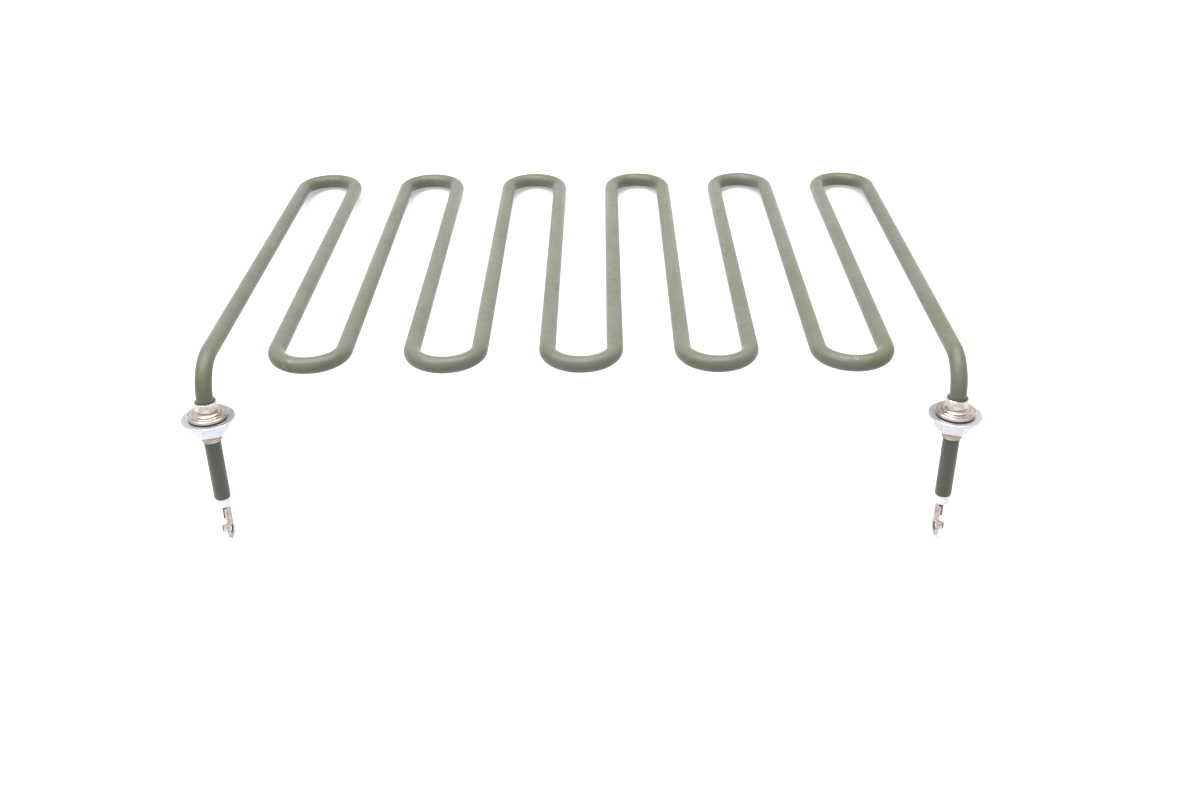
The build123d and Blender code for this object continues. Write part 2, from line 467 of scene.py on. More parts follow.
def element_place(tree):
    """Where a point is in the element's own frame."""
    where = add(tree, "ShaderNodeTexCoord")
    undo = {"Vector": where.outputs["Object"], "Location": table_place, "Rotation": (-lean, 0, 0)}
    return add(tree, "ShaderNodeMapping", undo, vector_type="TEXTURE").outputs["Vector"]


def leg_place(tree):
    """Where a point is from the axis of the nearer leg."""
    parts = add(tree, "ShaderNodeSeparateXYZ", {0: element_place(tree)})
    side = add(tree, "ShaderNodeMath", {0: parts.outputs["X"]}, operation="ABSOLUTE")
    folded = add(
        tree,
        "ShaderNodeCombineXYZ",
        {"X": side.outputs[0], "Y": parts.outputs["Y"], "Z": parts.outputs["Z"]},
    )
    centre = {"Vector": folded.outputs[0], "Location": (leg_x, leg_y, 0)}
    return add(tree, "ShaderNodeMapping", centre, vector_type="TEXTURE").outputs["Vector"]


def paint(tree, shader, color, roughness, height, depth):
    """Link a colour, a roughness and a relief of a given depth to a shader."""
    tree.links.new(color, shader.inputs["Base Color"])
    tree.links.new(roughness, shader.inputs["Roughness"])
    relief = add(tree, "ShaderNodeBump", {"Height": height, "Distance": depth, "Strength": 1.0})
    tree.links.new(relief.outputs["Normal"], shader.inputs["Normal"])


# %% [markdown]
# The tube is stainless steel that was heated until it grew a grey-green oxide. The oxide is a dull
# skin that hides the metal, so the shader isn't metallic, and a touch of sheen lightens it where it
# turns away. Broad clouds move it between olive and grey, finer ones break it up, and a few nicks
# are paler. Painted shade darkens the upright legs from their bends down to the bushes, where less
# of the overhead light falls. Below the bushes, where the tube stays cold in use, they are darker
# still: partly its own darker tone there, partly more painted shade under the washers and nuts. On
# the two outermost near bends something has rubbed the skin, so four small spots there break up
# into pale chips.

# %% Finish: oxidised tube
full_wear = 0.3
scuffs = [
    ((-135.0 * mm, -17.9 * mm, 2.9 * mm), 1.6 * mm),
    ((-138.3 * mm, -18.0 * mm, 0.7 * mm), 0.9 * mm),
    ((128.2 * mm, -17.8 * mm, 3.6 * mm), 1.3 * mm),
    ((131.0 * mm, -16.3 * mm, 4.1 * mm), 0.9 * mm),
]
oxide, tree, shader = new_material(
    "green_oxide_steel",
    Metallic=0.0,
    Specular_IOR_Level=0.4,
    Sheen_Weight=0.18,
    Sheen_Roughness=0.4,
)
place = element_place(tree)
broad = use(tree, clouds, {"Vector": place, "Scale": 34.0, "Low": 0.36, "High": 0.64})
fine = use(tree, clouds, {"Vector": place, "Scale": 260.0, "Low": 0.35, "High": 0.7})
nicks = use(tree, specks, {"Vector": place, "Scale": 190.0, "Amount": 0.1})
chips = use(tree, clouds, {"Vector": place, "Scale": 1300.0, "Low": 0.5, "High": 0.56})
skin = mix(tree, broad["Mask"], tone(82, 87, 66), tone(92, 94, 81))
skin = mix(tree, span(tree, fine["Mask"], 0.0, 0.2), skin, tone(104, 106, 93))
parts = add(tree, "ShaderNodeSeparateXYZ", {0: place})
# Painted shade: the legs darken below their bends, and below the bushes more still, where the cold tube's
# own darker tone adds to it.
bend_shade_top = -7 * mm
upright_shade = ramp(tree, parts.outputs["Z"], bend_shade_top, collar_top)
cool_and_shaded = ramp(tree, parts.outputs["Z"], collar_top, shank_bottom)
skin = mix(tree, span(tree, upright_shade, 0.0, 0.4), skin, tone(80, 83, 71))
skin = mix(tree, span(tree, cool_and_shaded, 0.0, 0.8), skin, tone(68, 69, 62))
skin = mix(tree, span(tree, nicks["Mask"], 0.0, 0.4), skin, tone(150, 151, 138))
for spot, spread in scuffs:
    away = add(tree, "ShaderNodeVectorMath", {0: place, 1: spot}, operation="DISTANCE")
    near = ramp(tree, away.outputs["Value"], spread, full_wear * spread)
    scratched = add(tree, "ShaderNodeMath", {0: near, 1: chips["Mask"]}, operation="MULTIPLY")
    skin = mix(tree, scratched.outputs[0], skin, tone(158, 161, 134))
grain = add(tree, "ShaderNodeTexNoise", {"Vector": place, "Scale": 2600.0, "Detail": 3.0})
paint(tree, shader, skin, span(tree, fine["Mask"], 0.5, 0.42), grain.outputs["Fac"], 0.01 * mm)

# %% [markdown]
# The bush is turned from brass and plated, which leaves a warm, pale, shiny metal. The grooves of
# the tool run round the axis, so they follow the radius and the height together. The plating is
# thinnest on the edges, and some brass shows there, painted lighter as a highlight. Short dark
# streaks of painted reflection run round it too, so their clouds are stretched: they are much finer
# along the leg than round it.

# %% Finish: plated brass
plated, tree, shader = new_material("warm_plated_brass", Metallic=1.0)
place = leg_place(tree)
tool = use(tree, rings, {"Vector": place, "Pitch": 0.22 * mm})
stain = use(tree, clouds, {"Vector": place, "Scale": 260.0, "Low": 0.42, "High": 0.68})
stretched = add(tree, "ShaderNodeMapping", {"Vector": place, "Scale": (240.0, 240.0, 1100.0)}).outputs[0]
dark_reflection_streak = use(tree, clouds, {"Vector": stretched, "Scale": 1.0, "Low": 0.5, "High": 0.7})
rubbed_highlight = use(tree, worn_highlight, {"Vector": place, "Start": 0.53, "End": 0.62})
metal = mix(tree, stain["Mask"], tone(198, 189, 182), tone(182, 171, 163))
# Painted dark reflections in streaks round the axis, then worn edges painted lighter as a highlight.
metal = mix(tree, span(tree, dark_reflection_streak["Mask"], 0.0, 0.5), metal, tone(126, 110, 99))
metal = mix(tree, rubbed_highlight["Mask"], metal, tone(228, 214, 196))
paint(tree, shader, metal, span(tree, stain["Mask"], 0.22, 0.34), tool["Height"], 0.004 * mm)

# %% [markdown]
# The nut and the washer are zinc plated: a pale, cool metal with a soft shine and a very faint
# crystal bloom. Their edges are polished by the spanner and by the tumbling barrel, and are painted
# lighter as a highlight.

# %% Finish: zinc plate
zinc, tree, shader = new_material("pale_zinc_plate", Metallic=1.0)
place = leg_place(tree)
bloom = add(tree, "ShaderNodeTexVoronoi", {"Vector": place, "Scale": 900.0})
haze = use(tree, clouds, {"Vector": place, "Scale": 320.0, "Low": 0.4, "High": 0.65})
rubbed_highlight = use(tree, worn_highlight, {"Vector": place, "Start": 0.53, "End": 0.62})
metal = mix(tree, haze["Mask"], tone(197, 197, 203), tone(188, 188, 195))
# Worn edges, painted lighter as a highlight.
metal = mix(tree, rubbed_highlight["Mask"], metal, tone(222, 222, 228))
paint(tree, shader, metal, span(tree, haze["Mask"], 0.3, 0.36), bloom.outputs["Distance"], 0.0006 * mm)

# %% [markdown]
# The gasket is a compressed fibre board, almost black, with short fibres that catch a little light
# on its cut edge. Its near-black also paints the shade in the gap between flange and washer.

# %% Finish: gasket fibre and painted gap shade
fibre_and_gap_shade, tree, shader = new_material("black_fibre_and_gap_shade", Metallic=0.0)
place = leg_place(tree)
tangle = {"Vector": place, "Scale": 2200.0, "Detail": 5.0, "Distortion": 1.5}
strands = add(tree, "ShaderNodeTexNoise", tangle)
tufts = use(tree, clouds, {"Vector": place, "Scale": 900.0, "Low": 0.4, "High": 0.7})
# Near-black board that also paints the shade in the gap under the flange.
board_and_gap_shade = mix(tree, tufts["Mask"], tone(30, 29, 28), tone(62, 59, 56))
paint(tree, shader, board_and_gap_shade, span(tree, tufts["Mask"], 0.7, 0.9), strands.outputs["Fac"], 0.05 * mm)

# %% [markdown]
# The bead is steatite, a white ceramic. It is fired without a glaze, so it is smooth but not wet,
# and it holds a few tiny darker grains.

# %% Finish: white ceramic
ceramic, tree, shader = new_material("white_steatite", Metallic=0.0, Coat_Weight=0.15, Coat_Roughness=0.25)
place = leg_place(tree)
warmth = use(tree, clouds, {"Vector": place, "Scale": 500.0, "Low": 0.35, "High": 0.7})
grains = use(tree, specks, {"Vector": place, "Scale": 1500.0, "Amount": 0.12})
white = mix(tree, warmth["Mask"], tone(242, 241, 240), tone(234, 233, 231))
white = mix(tree, span(tree, grains["Mask"], 0.0, 0.3), white, tone(190, 186, 178))
pores = add(tree, "ShaderNodeTexNoise", {"Vector": place, "Scale": 4000.0, "Detail": 2.0})
paint(tree, shader, white, span(tree, warmth["Mask"], 0.3, 0.45), pores.outputs["Fac"], 0.01 * mm)

# %% [markdown]
# The tab is stamped from nickel-plated strip. The rolling of the strip leaves fine streaks along
# it, the welding heat has tinted it brown beside the pin, the edges are rubbed and painted bright as
# a highlight, and the wall of the punched hole is painted dark as shade.

# %% Finish: stamped terminal
stamped, tree, shader = new_material("nickel_plated_strip", Metallic=1.0)
place = leg_place(tree)
stretched = add(tree, "ShaderNodeMapping", {"Vector": place, "Scale": (3000.0, 3000.0, 160.0)}).outputs[0]
streaks = add(tree, "ShaderNodeTexNoise", {"Vector": stretched, "Scale": 1.0, "Detail": 3.0})
parts = add(tree, "ShaderNodeSeparateXYZ", {0: place})
tint_end = pin_end - 3 * mm
heat = ramp(tree, parts.outputs["Z"], tint_end, tab_top)
tarnish = use(tree, clouds, {"Vector": place, "Scale": 420.0, "Low": 0.4, "High": 0.62})
rubbed_highlight = use(tree, worn_highlight, {"Vector": place, "Start": 0.53, "End": 0.62})
metal = mix(tree, span(tree, tarnish["Mask"], 0.0, 0.7), tone(182, 173, 167), tone(136, 123, 116))
metal = mix(tree, span(tree, heat, 0.0, 0.55), metal, tone(148, 122, 110))
# Worn edges, painted lighter as a highlight.
metal = mix(tree, rubbed_highlight["Mask"], metal, tone(226, 220, 214))
from_hole = add(tree, "ShaderNodeMath", {0: parts.outputs["Z"], 1: hole_height}, operation="SUBTRACT")
across = add(tree, "ShaderNodeCombineXYZ", {"X": parts.outputs["Y"], "Y": from_hole.outputs[0]})
from_axis = add(tree, "ShaderNodeVectorMath", {0: across.outputs[0]}, operation="LENGTH")
# Painted shade on the wall of the punched hole and on a thin rim round it.
hole_shade_rim = 0.12 * mm
hole_wall_shade = ramp(tree, from_axis.outputs["Value"], hole_radius + hole_shade_rim, hole_radius)
metal = mix(tree, hole_wall_shade, metal, tone(70, 56, 48))
paint(tree, shader, metal, span(tree, tarnish["Mask"], 0.2, 0.4), streaks.outputs["Fac"], 0.008 * mm)

# %% [markdown]
# The pin is drawn steel wire. Drawing it through a die leaves lines along it, and the welding
# electrode has pressed a row of dark marks across it. Ping-pong folds the height into a zigzag,
# which is low once in every spacing, and a ramp turns each low place into one mark.

# %% Finish: drawn pin
drawn, tree, shader = new_material("drawn_pin_steel", Metallic=1.0)
place = leg_place(tree)
stretched = add(tree, "ShaderNodeMapping", {"Vector": place, "Scale": (4000.0, 4000.0, 90.0)}).outputs[0]
lines = add(tree, "ShaderNodeTexNoise", {"Vector": stretched, "Scale": 1.0, "Detail": 2.0})
tarnish = use(tree, clouds, {"Vector": place, "Scale": 600.0, "Low": 0.38, "High": 0.62})
parts = add(tree, "ShaderNodeSeparateXYZ", {0: place})
mark_spacing, mark_edge, mark_core = 1.7 * mm, 0.45 * mm, 0.2 * mm
zigzag = {0: parts.outputs["Z"], 1: mark_spacing / 2}
folded = add(tree, "ShaderNodeMath", zigzag, operation="PINGPONG")
pressed = ramp(tree, folded.outputs[0], mark_edge, mark_core)
metal = mix(tree, tarnish["Mask"], tone(132, 119, 110), tone(92, 78, 70))
metal = mix(tree, span(tree, pressed, 0.0, 0.75), metal, tone(66, 54, 48))
paint(tree, shader, metal, span(tree, lines.outputs["Fac"], 0.25, 0.4), lines.outputs["Fac"], 0.006 * mm)

# %% [markdown]
# Three kinds of piece stay out of sight inside the tube: the white powder that carries the heat,
# the resistance wire and the soft end seals. Nothing shows of them, so they keep their plain CAD
# shapes and only get their own finishes.

# %% Finishes: inside the tube
powder, tree, shader = new_material("pressed_magnesia", Metallic=0.0)
place = element_place(tree)
lumps = use(tree, clouds, {"Vector": place, "Scale": 700.0, "Low": 0.35, "High": 0.7})
chalk = mix(tree, lumps["Mask"], tone(232, 229, 220), tone(212, 208, 196))
crumbs = add(tree, "ShaderNodeTexNoise", {"Vector": place, "Scale": 5000.0, "Detail": 3.0})
paint(tree, shader, chalk, span(tree, lumps["Mask"], 0.8, 0.95), crumbs.outputs["Fac"], 0.04 * mm)

wire, tree, shader = new_material("wound_resistance_wire", Metallic=1.0)
place = element_place(tree)
bands = {"Vector": place, "Scale": 700.0, "Distortion": 0.3}
winding = add(tree, "ShaderNodeTexWave", bands, bands_direction="Y")
glow = use(tree, clouds, {"Vector": place, "Scale": 300.0, "Low": 0.4, "High": 0.6})
metal = mix(tree, glow["Mask"], tone(128, 122, 116), tone(98, 92, 90))
paint(tree, shader, metal, span(tree, glow["Mask"], 0.35, 0.5), winding.outputs["Fac"], 0.2 * mm)

seal, tree, shader = new_material("cured_silicone", Metallic=0.0)
place = leg_place(tree)
bubbles = use(tree, specks, {"Vector": place, "Scale": 1200.0, "Amount": 0.3})
gum = mix(tree, span(tree, bubbles["Mask"], 0.0, 0.5), tone(188, 96, 74), tone(214, 132, 110))
soft = add(tree, "ShaderNodeTexNoise", {"Vector": place, "Scale": 1800.0, "Detail": 2.0})
paint(tree, shader, gum, span(tree, soft.outputs["Fac"], 0.4, 0.6), soft.outputs["Fac"], 0.03 * mm)

inside = {
    "magnesia_packing": powder,
    "resistance_coil": wire,
    "end_seal_left": seal,
    "end_seal_right": seal,
}
for node, material in inside.items():
    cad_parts[node].material_slots[0].material = material
print("finishes:", [m.name for m in bpy.data.materials if m.users])

# %% [markdown]
# The tube could be a curve with a round bevel, but a hand would bend a real tube one bend at a
# time, and so do we. A circle at the foot of the left leg is extruded up the leg, spun through a
# quarter turn into the first limb, then extruded and spun eleven times, and finally down the right
# leg. Solidify gives the wall, and the outer rims of the two open ends are bevelled.


# %% Helpers for bending the tube
def run_on(x, y, z):
    """Extrude the selected ring straight on."""
    bpy.ops.mesh.extrude_edges_move(TRANSFORM_OT_translate={"value": (x, y, z)})


def bend_round(centre, axis, angle, steps):
    """Spin the selected ring round an axis, anticlockwise when the angle is positive."""
    bpy.ops.mesh.spin(steps=steps, angle=radians(-angle), center=centre, axis=axis)


# %% The tube
tube_sides, bend_steps, leg_steps = 40, 26, 16
clear()
bpy.ops.mesh.primitive_circle_add(
    vertices=tube_sides, radius=tube_radius, location=(-leg_x, leg_y, -sheath_drop)
)
tube = bpy.context.object
tube.name = "bent_tube"
bpy.ops.object.mode_set(mode="EDIT")
bpy.ops.mesh.select_mode(type="EDGE")
bpy.ops.mesh.select_all(action="SELECT")
run_on(0, 0, sheath_drop - leg_bend_radius)
bend_round((-leg_x, -leg_setback, -leg_bend_radius), (1, 0, 0), -90, leg_steps)
y = -leg_setback
for limb in range(limb_count):
    x = -leg_x + limb * limb_pitch
    out = limb % 2 == 0
    last = limb == limb_count - 1
    stop = bend_spacing if out else (-leg_setback if last else 0)
    run_on(0, stop - y, 0)
    if not last:
        bend_round((x + bend_radius, stop, 0), (0, 0, 1), -180 if out else 180, bend_steps)
    y = stop
bend_round((leg_x, -leg_setback, -leg_bend_radius), (1, 0, 0), 90, leg_steps)
run_on(0, 0, leg_bend_radius - sheath_drop)
settle(tube)
close_up(tube)

# %% Its wall and its open ends
near_enough = 0.01 * mm
take(tube)
wall = tube.modifiers.new("wall", "SOLIDIFY")
wall.thickness = tube_wall
wall.offset = -1
bpy.ops.object.modifier_apply(modifier=wall.name)
bpy.ops.object.mode_set(mode="EDIT")


def on_outer_rim(point):
    """True on the outer edge of an open end of the tube."""
    from_axis = hypot(abs(point.x) - leg_x, point.y - leg_y)
    at_end = abs(point.z + sheath_drop) < near_enough
    return at_end and from_axis > tube_radius - near_enough


print("rim edges:", pick(tube, "EDGE", on_outer_rim))
rim_round = 0.45 * mm
bpy.ops.mesh.bevel(offset=rim_round, segments=3)
clear()
put_on(tube, "sheath", oxide)

# %% [markdown]
# The bush is one turned piece: a thin collar round the tube, a wide flange with a low step round
# its top, and a shank. The cutter leaves a small round at the foot of the collar and breaks the
# edges.

# %% The bush's turned body
thread_root = thread_radius - thread_depth
core_radius = thread_root - 0.1 * mm
foot = 1.2 * mm
broken = 0.3 * mm
shoulder, collar_foot = 7.6 * mm, flange_top + 2.0 * mm
step, rounded, mouth = 0.3 * mm, 0.15 * mm, 0.6 * mm
core_inset = 0.12 * mm
body_outline = [
    (bush_bore, collar_top - mouth),
    (bush_bore + mouth, collar_top),
    (collar_radius - rounded, collar_top),
    (collar_radius, collar_top - rounded),
    (collar_radius, collar_foot + 0.5 * mm),
    (collar_radius + 0.25 * mm, collar_foot),
    *arc((collar_radius + foot, flange_top + foot), foot, 190, 262),
    (shoulder - rounded, flange_top),
    (shoulder, flange_top - rounded),
    (shoulder + rounded, flange_top - step),
    (flange_radius - broken, flange_top - step),
    (flange_radius, flange_top - step - broken),
    (flange_radius, flange_bottom + rounded),
    (flange_radius - rounded, flange_bottom),
    (core_radius, flange_bottom),
    (core_radius, shank_bottom + core_inset),
    (bush_bore, shank_bottom + core_inset),
]
bush = turned("bush_master", body_outline, steps=72)
print("bush body faces:", len(bush.data.polygons))

# %% [markdown]
# A screw thread is a small tooth carried round the shank, one pitch up for each turn, which is just
# what the Screw modifier does. The edge that closes the tooth on the inside is deleted first, so
# that the turns make one open skin. The skin starts a little more than a pitch too low, so that no
# edge of it falls exactly on a cut. It is cut level at both ends and filled, trimmed with a turned
# sleeve that has the chamfer of the real shank, and joined to the bush.

# %% The thread
tooth = [
    (thread_root, 0.0),
    (thread_root, 0.12 * thread_pitch),
    (thread_radius, 0.43 * thread_pitch),
    (thread_radius, 0.57 * thread_pitch),
    (thread_root, 0.88 * thread_pitch),
    (thread_root, 1.0 * thread_pitch),
]
thread_turns, turn_steps = 16, 40
too_low, same = 1.007 * mm, 0.001 * mm
screw_start = shank_bottom - too_low
screw = draw("thread_master", [(r, 0, screw_start + z) for r, z in tooth])
bpy.ops.object.mode_set(mode="EDIT")
bpy.ops.mesh.select_all(action="SELECT")
bpy.ops.mesh.delete(type="ONLY_FACE")


def on_closing_edge(point):
    """True at both ends of the edge that closes the tooth on the inside."""
    up = point.z - screw_start
    return point.x < thread_root + same and min(abs(up), abs(up - thread_pitch)) < same


print("closing edges:", pick(screw, "EDGE", on_closing_edge))
bpy.ops.mesh.delete(type="EDGE")
take(screw)
winding = screw.modifiers.new("winding", "SCREW")
winding.axis = "Z"
winding.steps = winding.render_steps = turn_steps
winding.screw_offset = thread_pitch
winding.iterations = thread_turns
bpy.ops.object.modifier_apply(modifier=winding.name)
close_up(screw)
bpy.ops.object.mode_set(mode="EDIT")
top_cut, bottom_cut = flange_bottom - 0.5 * mm, shank_bottom - 0.3 * mm
for cut_height, upward in ((top_cut, True), (bottom_cut, False)):
    bpy.ops.mesh.select_all(action="SELECT")
    bpy.ops.mesh.bisect(
        plane_co=(0, 0, cut_height),
        plane_no=(0, 0, 1),
        clear_outer=upward,
        clear_inner=not upward,
    )
bpy.ops.mesh.select_all(action="SELECT")
bpy.ops.mesh.fill_holes(sides=0)
close_up(screw)
chamfer, spare = 0.7 * mm, 0.5 * mm
sleeve_bore, sleeve_top = bush_bore + 0.09 * mm, flange_bottom - 0.2 * mm
sleeve = turned(
    "sleeve",
    [
        (sleeve_bore, sleeve_top),
        (thread_radius + spare, sleeve_top),
        (thread_radius + spare, shank_bottom + chamfer + spare),
        (thread_radius - chamfer, shank_bottom),
        (sleeve_bore, shank_bottom),
    ],
    steps=72,
)
combine(screw, sleeve, "INTERSECT")
print("thread faces:", len(screw.data.polygons))
combine(bush, screw, "UNION")
put_on_legs(bush, "turned_bush", "threaded_bush", plated)

# %% [markdown]
# Gasket and washer are plain rings. What makes them real is the edge: the gasket is squeezed and
# bulges a little, and the washer was punched, so one face has a rounded rim and the other a sharp
# one.

# %% Gasket and washer
gasket_middle, bulge = (flange_bottom + gasket_bottom) / 2, 0.12 * mm
gasket = turned(
    "gasket_master",
    [
        (clear_bore, flange_bottom),
        (gasket_radius - bulge, flange_bottom),
        (gasket_radius, gasket_middle),
        (gasket_radius - bulge, gasket_bottom),
        (clear_bore, gasket_bottom),
    ],
)
put_on_legs(gasket, "gasket_and_gap_shade", "gasket", fibre_and_gap_shade)

rim, burr, bore_edge = 0.3 * mm, 0.08 * mm, 0.15 * mm
washer = turned(
    "washer_master",
    [
        (clear_bore, gasket_bottom - bore_edge),
        (clear_bore + bore_edge, gasket_bottom),
        *arc((washer_radius - rim, gasket_bottom - rim), rim, 90, 0, 4),
        (washer_radius, washer_bottom + burr),
        (washer_radius - burr, washer_bottom),
        (clear_bore + bore_edge, washer_bottom),
        (clear_bore, washer_bottom + bore_edge),
    ],
    steps=80,
)
put_on_legs(washer, "plain_washer", "washer", zinc)

# %% [markdown]
# A hexagon nut is a six-sided bar whose corners are turned off at both faces, which leaves the
# curved edges that every nut has. This one is turned off further at its lower face. So it is made
# the same way: a six-sided prism with softened corners is trimmed by a turned blank that also has
# the countersunk hole.

# %% The nut
clear()
corner, corner_round = nut_flat / cos(radians(30)), 0.35 * mm
nut_middle = (washer_bottom + nut_bottom) / 2
bpy.ops.mesh.primitive_cylinder_add(
    vertices=6, radius=corner, depth=washer_bottom - nut_bottom, location=(0, 0, nut_middle)
)
nut = bpy.context.object
nut.name = "nut_master"
nut.rotation_euler.z = radians(-30)
settle(nut)
bpy.ops.object.mode_set(mode="EDIT")
bpy.ops.mesh.select_mode(type="EDGE")
bpy.ops.mesh.select_all(action="DESELECT")
form = bmesh.from_edit_mesh(nut.data)
for bar_edge in form.edges:
    top_end, bottom_end = bar_edge.verts
    bar_edge.select_set(abs(top_end.co.z - bottom_end.co.z) > mm)
bmesh.update_edit_mesh(nut.data)
bpy.ops.mesh.bevel(offset=corner_round, segments=3)
clear()
sink = 0.5 * mm
turned_off, nose = nut_flat - 0.1 * mm, nut_flat - 1.7 * mm
slope, nose_slope = tan(radians(30)), tan(radians(40))
wide = corner + 0.5 * mm
blank = turned(
    "blank",
    [
        (clear_bore, washer_bottom - sink),
        (clear_bore + sink, washer_bottom),
        (turned_off, washer_bottom),
        (wide, washer_bottom - (wide - turned_off) * slope),
        (wide, nut_bottom + (wide - nose) * nose_slope),
        (nose, nut_bottom),
        (clear_bore + sink, nut_bottom),
        (clear_bore, nut_bottom + sink),
    ],
    steps=96,
)
combine(nut, blank, "INTERSECT")
put_on_legs(nut, "zinc_nut", "hex_nut", zinc, turns=nut_turns)

# %% [markdown]
# The ceramic bead closes the end of the tube. Its spigot sits inside the tube, its head is as
# rounded as pressed ceramic is, and the pin runs through its hole.

# %% The bead
round_edge, edge, hole_edge = 0.8 * mm, 0.2 * mm, 0.25 * mm
bead = turned(
    "bead_master",
    [
        (bead_hole, spigot_top),
        (spigot_radius - edge, spigot_top),
        (spigot_radius, spigot_top - edge),
        (spigot_radius, -sheath_drop),
        (bead_radius - edge, -sheath_drop),
        (bead_radius, -sheath_drop - edge),
        *arc((bead_radius - round_edge, bead_bottom + round_edge), round_edge, 0, -90),
        (bead_hole + hole_edge, bead_bottom),
        (bead_hole, bead_bottom + hole_edge),
    ],
    steps=56,
)
put_on_legs(bead, "ceramic_end_bead", "ceramic_bead", ceramic)

# %% [markdown]
# The pin is a round rod with a flat at its outer end, where the tab is welded on. A rod on the axis
# is an outline that touches it, and spinning that closes both ends.

# %% The pin
pin_edge = 0.15 * mm
pin = turned(
    "pin_master",
    [
        (0, pin_top),
        (pin_radius - pin_edge, pin_top),
        (pin_radius, pin_top - pin_edge),
        (pin_radius, pin_end + pin_edge),
        (pin_radius - pin_edge, pin_end),
        (0, pin_end),
    ],
    steps=40,
)
clear()
flat_height = tab_top - pin_end
cutter_place = (pin_flat + flat_height, 0, tab_top - flat_height)
bpy.ops.mesh.primitive_cube_add(size=2 * flat_height, location=cutter_place)
flat_cutter = bpy.context.object
settle(flat_cutter)
combine(pin, flat_cutter, "DIFFERENCE")
put_on_legs(pin, "cold_pin", "terminal_pin", drawn, mirrored=True)

# %% [markdown]
# The tab starts as a flat blank, drawn as an outline with two small slots that let the metal fold.
# It is extruded to the thickness of the strip. Then the two side faces between the slots are spun
# through a quarter turn and extruded: they are the ears that stop a screwed-on lug from turning.

# %% The tab's blank
inner_bend = 0.4 * mm
fold_line = tab_round - tab_thickness - inner_bend
slot_bottom, slot_width, corner_cut = 0.7 * mm, 0.25 * mm, 0.5 * mm
stem_height = tab_top - hole_height
half_outline = [
    (tab_round, slot_bottom),
    (fold_line, slot_bottom),
    (fold_line, ear_bottom),
    (fold_line, ear_top),
    (fold_line, ear_top + slot_width),
    (stem_half, ear_top + 2 * slot_width),
    (stem_half, stem_height - corner_cut),
    (stem_half - corner_cut, stem_height),
]
blank_outline = arc((0, 0), tab_round, -180, 0, 28) + half_outline
blank_outline += [(-y, z) for y, z in reversed(half_outline)]
tab = draw("tab_master", [(pin_flat, y, hole_height + z) for y, z in blank_outline])
bpy.ops.object.mode_set(mode="EDIT")
bpy.ops.mesh.select_all(action="SELECT")
bpy.ops.mesh.extrude_region_move(TRANSFORM_OT_translate={"value": (tab_thickness, 0, 0)})
close_up(tab)

# %% Its ears
bpy.ops.object.mode_set(mode="EDIT")
ear_middle = hole_height + (ear_bottom + ear_top) / 2
ear_half, ear_steps = (ear_top - ear_bottom) / 2, 6
for side in (1, -1):

    def on_fold(point):
        """True in the middle of the side face between the slots."""
        at_side = abs(point.y - side * fold_line) < near_enough
        return at_side and abs(point.z - ear_middle) < 10 * near_enough

    pick(tab, "FACE", on_fold)
    bend_centre = (pin_flat - inner_bend, side * fold_line, 0)
    bend_round(bend_centre, (0, 0, 1), side * 90, ear_steps)
    bpy.ops.mesh.extrude_region_move(
        TRANSFORM_OT_translate={"value": (ear_tip - pin_flat + inner_bend, 0, 0)}
    )


def on_ear_corner(point):
    """True at the outer corners of the ears."""
    at_corner = abs(abs(point.z - ear_middle) - ear_half) < near_enough
    return at_corner and abs(point.x - ear_tip) < near_enough


print("ear corner edges:", pick(tab, "EDGE", on_ear_corner))
ear_round = 0.8 * mm
bpy.ops.mesh.bevel(offset=ear_round, segments=5)
close_up(tab)

# %% [markdown]
# The screw hole is punched through the round end, and two welding electrodes have each left a
# shallow dimple on the stem. Both are cut with solids. A last small bevel rounds every stamped edge.

# %% Its hole, weld dimples and edges
hole_sides, stamped_edge = 40, 0.1 * mm
clear()
bpy.ops.mesh.primitive_cylinder_add(
    vertices=hole_sides,
    radius=hole_radius,
    depth=6 * mm,
    location=(pin_flat, 0, hole_height),
    rotation=(0, pi / 2, 0),
)
punch = bpy.context.object
settle(punch)
combine(tab, punch, "DIFFERENCE")
soften(tab, stamped_edge, over=50)
electrode, dimple = 3.0 * mm, 0.12 * mm
for weld_height in (-79.6 * mm, -82.2 * mm):
    clear()
    bpy.ops.mesh.primitive_uv_sphere_add(
        segments=48,
        ring_count=24,
        radius=electrode,
        location=(pin_flat + tab_thickness + electrode - dimple, 0, weld_height),
    )
    tip = bpy.context.object
    settle(tip)
    combine(tab, tip, "DIFFERENCE")
put_on_legs(tab, "stamped_tab", "terminal_tab", stamped, mirrored=True)

# %% [markdown]
# The table is one large plain plane. The camera and the shiny metals see it and the air above it
# as white, through Light Path, while its own diffuse colour still takes the shadow of the element.
# Its glow grows with distance, where less lamp light falls on it. From below it is clear, so that
# the element can be looked at from there too.

# %% Table
room_light = 0.5


def seen_directly(tree):
    """One for camera, glossy and transmission rays, nothing for the rays that carry light."""
    path = add(tree, "ShaderNodeLightPath")
    shiny = add(
        tree,
        "ShaderNodeMath",
        {0: path.outputs["Is Glossy Ray"], 1: path.outputs["Is Transmission Ray"]},
        operation="ADD",
    )
    every = {0: path.outputs["Is Camera Ray"], 1: shiny.outputs[0]}
    return add(tree, "ShaderNodeMath", every, operation="ADD").outputs[0]


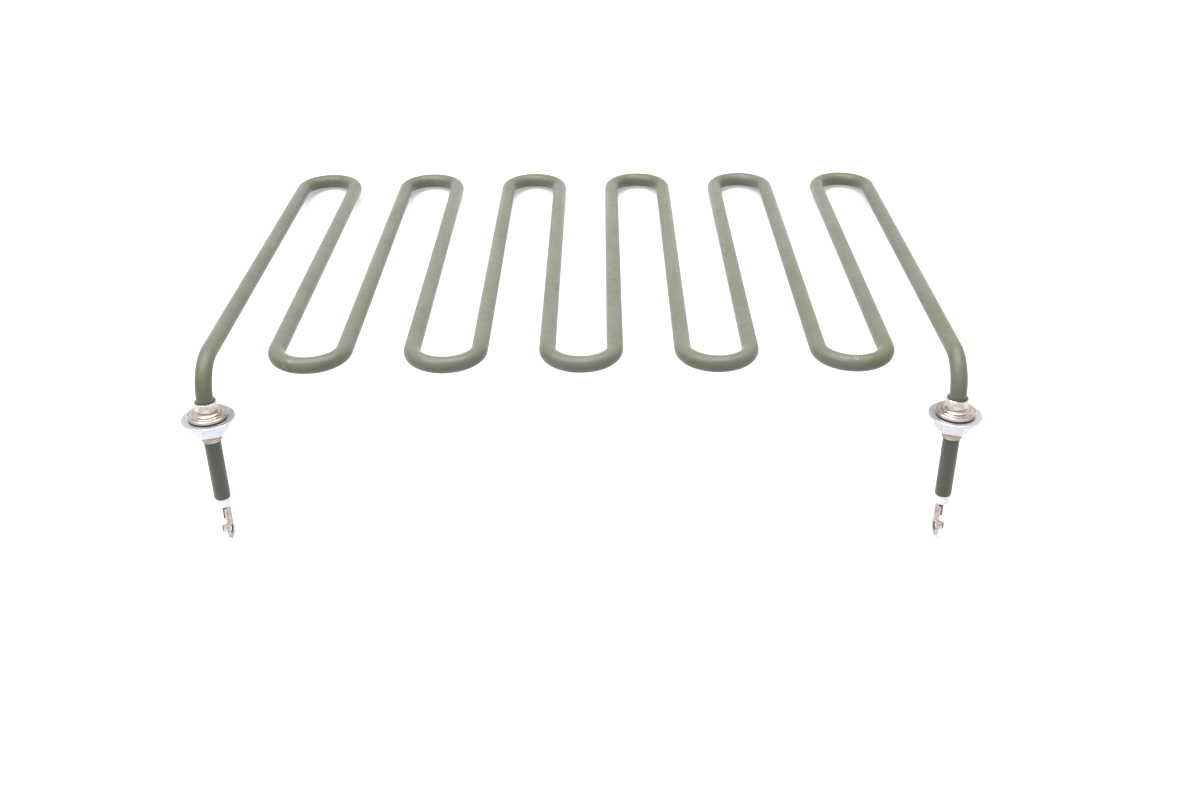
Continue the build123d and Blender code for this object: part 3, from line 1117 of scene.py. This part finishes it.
table_size, table_grey = 6.0, 0.6
clear()
bpy.ops.mesh.primitive_plane_add(size=table_size, location=(0, 0, 0))
table = bpy.context.object
table.name = "white_table"
top, tree, shader = new_material(
    "white_table_top",
    Roughness=0.9,
    Base_Color=(table_grey, table_grey, table_grey, 1),
    Specular_IOR_Level=0.0,
    Emission_Color=(1, 1, 1, 1),
)
where = add(tree, "ShaderNodeTexCoord")
far = add(tree, "ShaderNodeVectorMath", {0: where.outputs["Object"]}, operation="LENGTH")
lift = add(
    tree,
    "ShaderNodeMapRange",
    {"Value": far.outputs["Value"], "From Min": 0.4, "From Max": 1.2, "To Min": 0.33, "To Max": 0.7},
)
glow = add(tree, "ShaderNodeMath", {0: seen_directly(tree), 1: lift.outputs[0]}, operation="MULTIPLY")
tree.links.new(glow.outputs[0], shader.inputs["Emission Strength"])
side = add(tree, "ShaderNodeNewGeometry")
clear_glass = add(tree, "ShaderNodeBsdfTransparent")
output = tree.nodes["Material Output"]
one_sided = add(
    tree,
    "ShaderNodeMixShader",
    {0: side.outputs["Backfacing"], 1: shader.outputs[0], 2: clear_glass.outputs[0]},
)
tree.links.new(one_sided.outputs[0], output.inputs["Surface"])
table.data.materials.append(top)
print("table is", table_size, "m wide")

# %% [markdown]
# A white room gives even light from all round. A broad softbox overhead, a little behind the
# element, makes the tops of the tubes lighter than their sides, and a faint one in front opens up
# the shade on the near side.

# %% Light
room = bpy.data.worlds.new("white_room")
bpy.context.scene.world = room
room.use_nodes = True
tree = room.node_tree
background = tree.nodes["Background"]
background.inputs["Color"].default_value = (1, 1, 1, 1)
tree.links.new(span(tree, seen_directly(tree), room_light, 1.0), background.inputs["Strength"])


element_middle = Vector((0, 0, 0.04))


def softbox(name, place, width, depth, energy):
    """A flat soft lamp that looks at the middle of the element."""
    clear()
    bpy.ops.object.light_add(type="AREA", location=place)
    made = bpy.context.object
    made.name = name
    aim = element_middle - made.location
    made.rotation_euler = aim.to_track_quat("-Z", "Y").to_euler()
    made.data.shape = "RECTANGLE"
    made.data.size = width
    made.data.size_y = depth
    made.data.energy = energy
    print(name, "gives", energy, "W")


softbox("ceiling_softbox", (-0.15, 0.33, 1.28), 1.9, 1.05, 46.0)
softbox("front_softbox", (0.0, -1.2, 0.7), 2.0, 1.0, 4.0)
bpy.context.scene.view_settings.view_transform = "Standard"
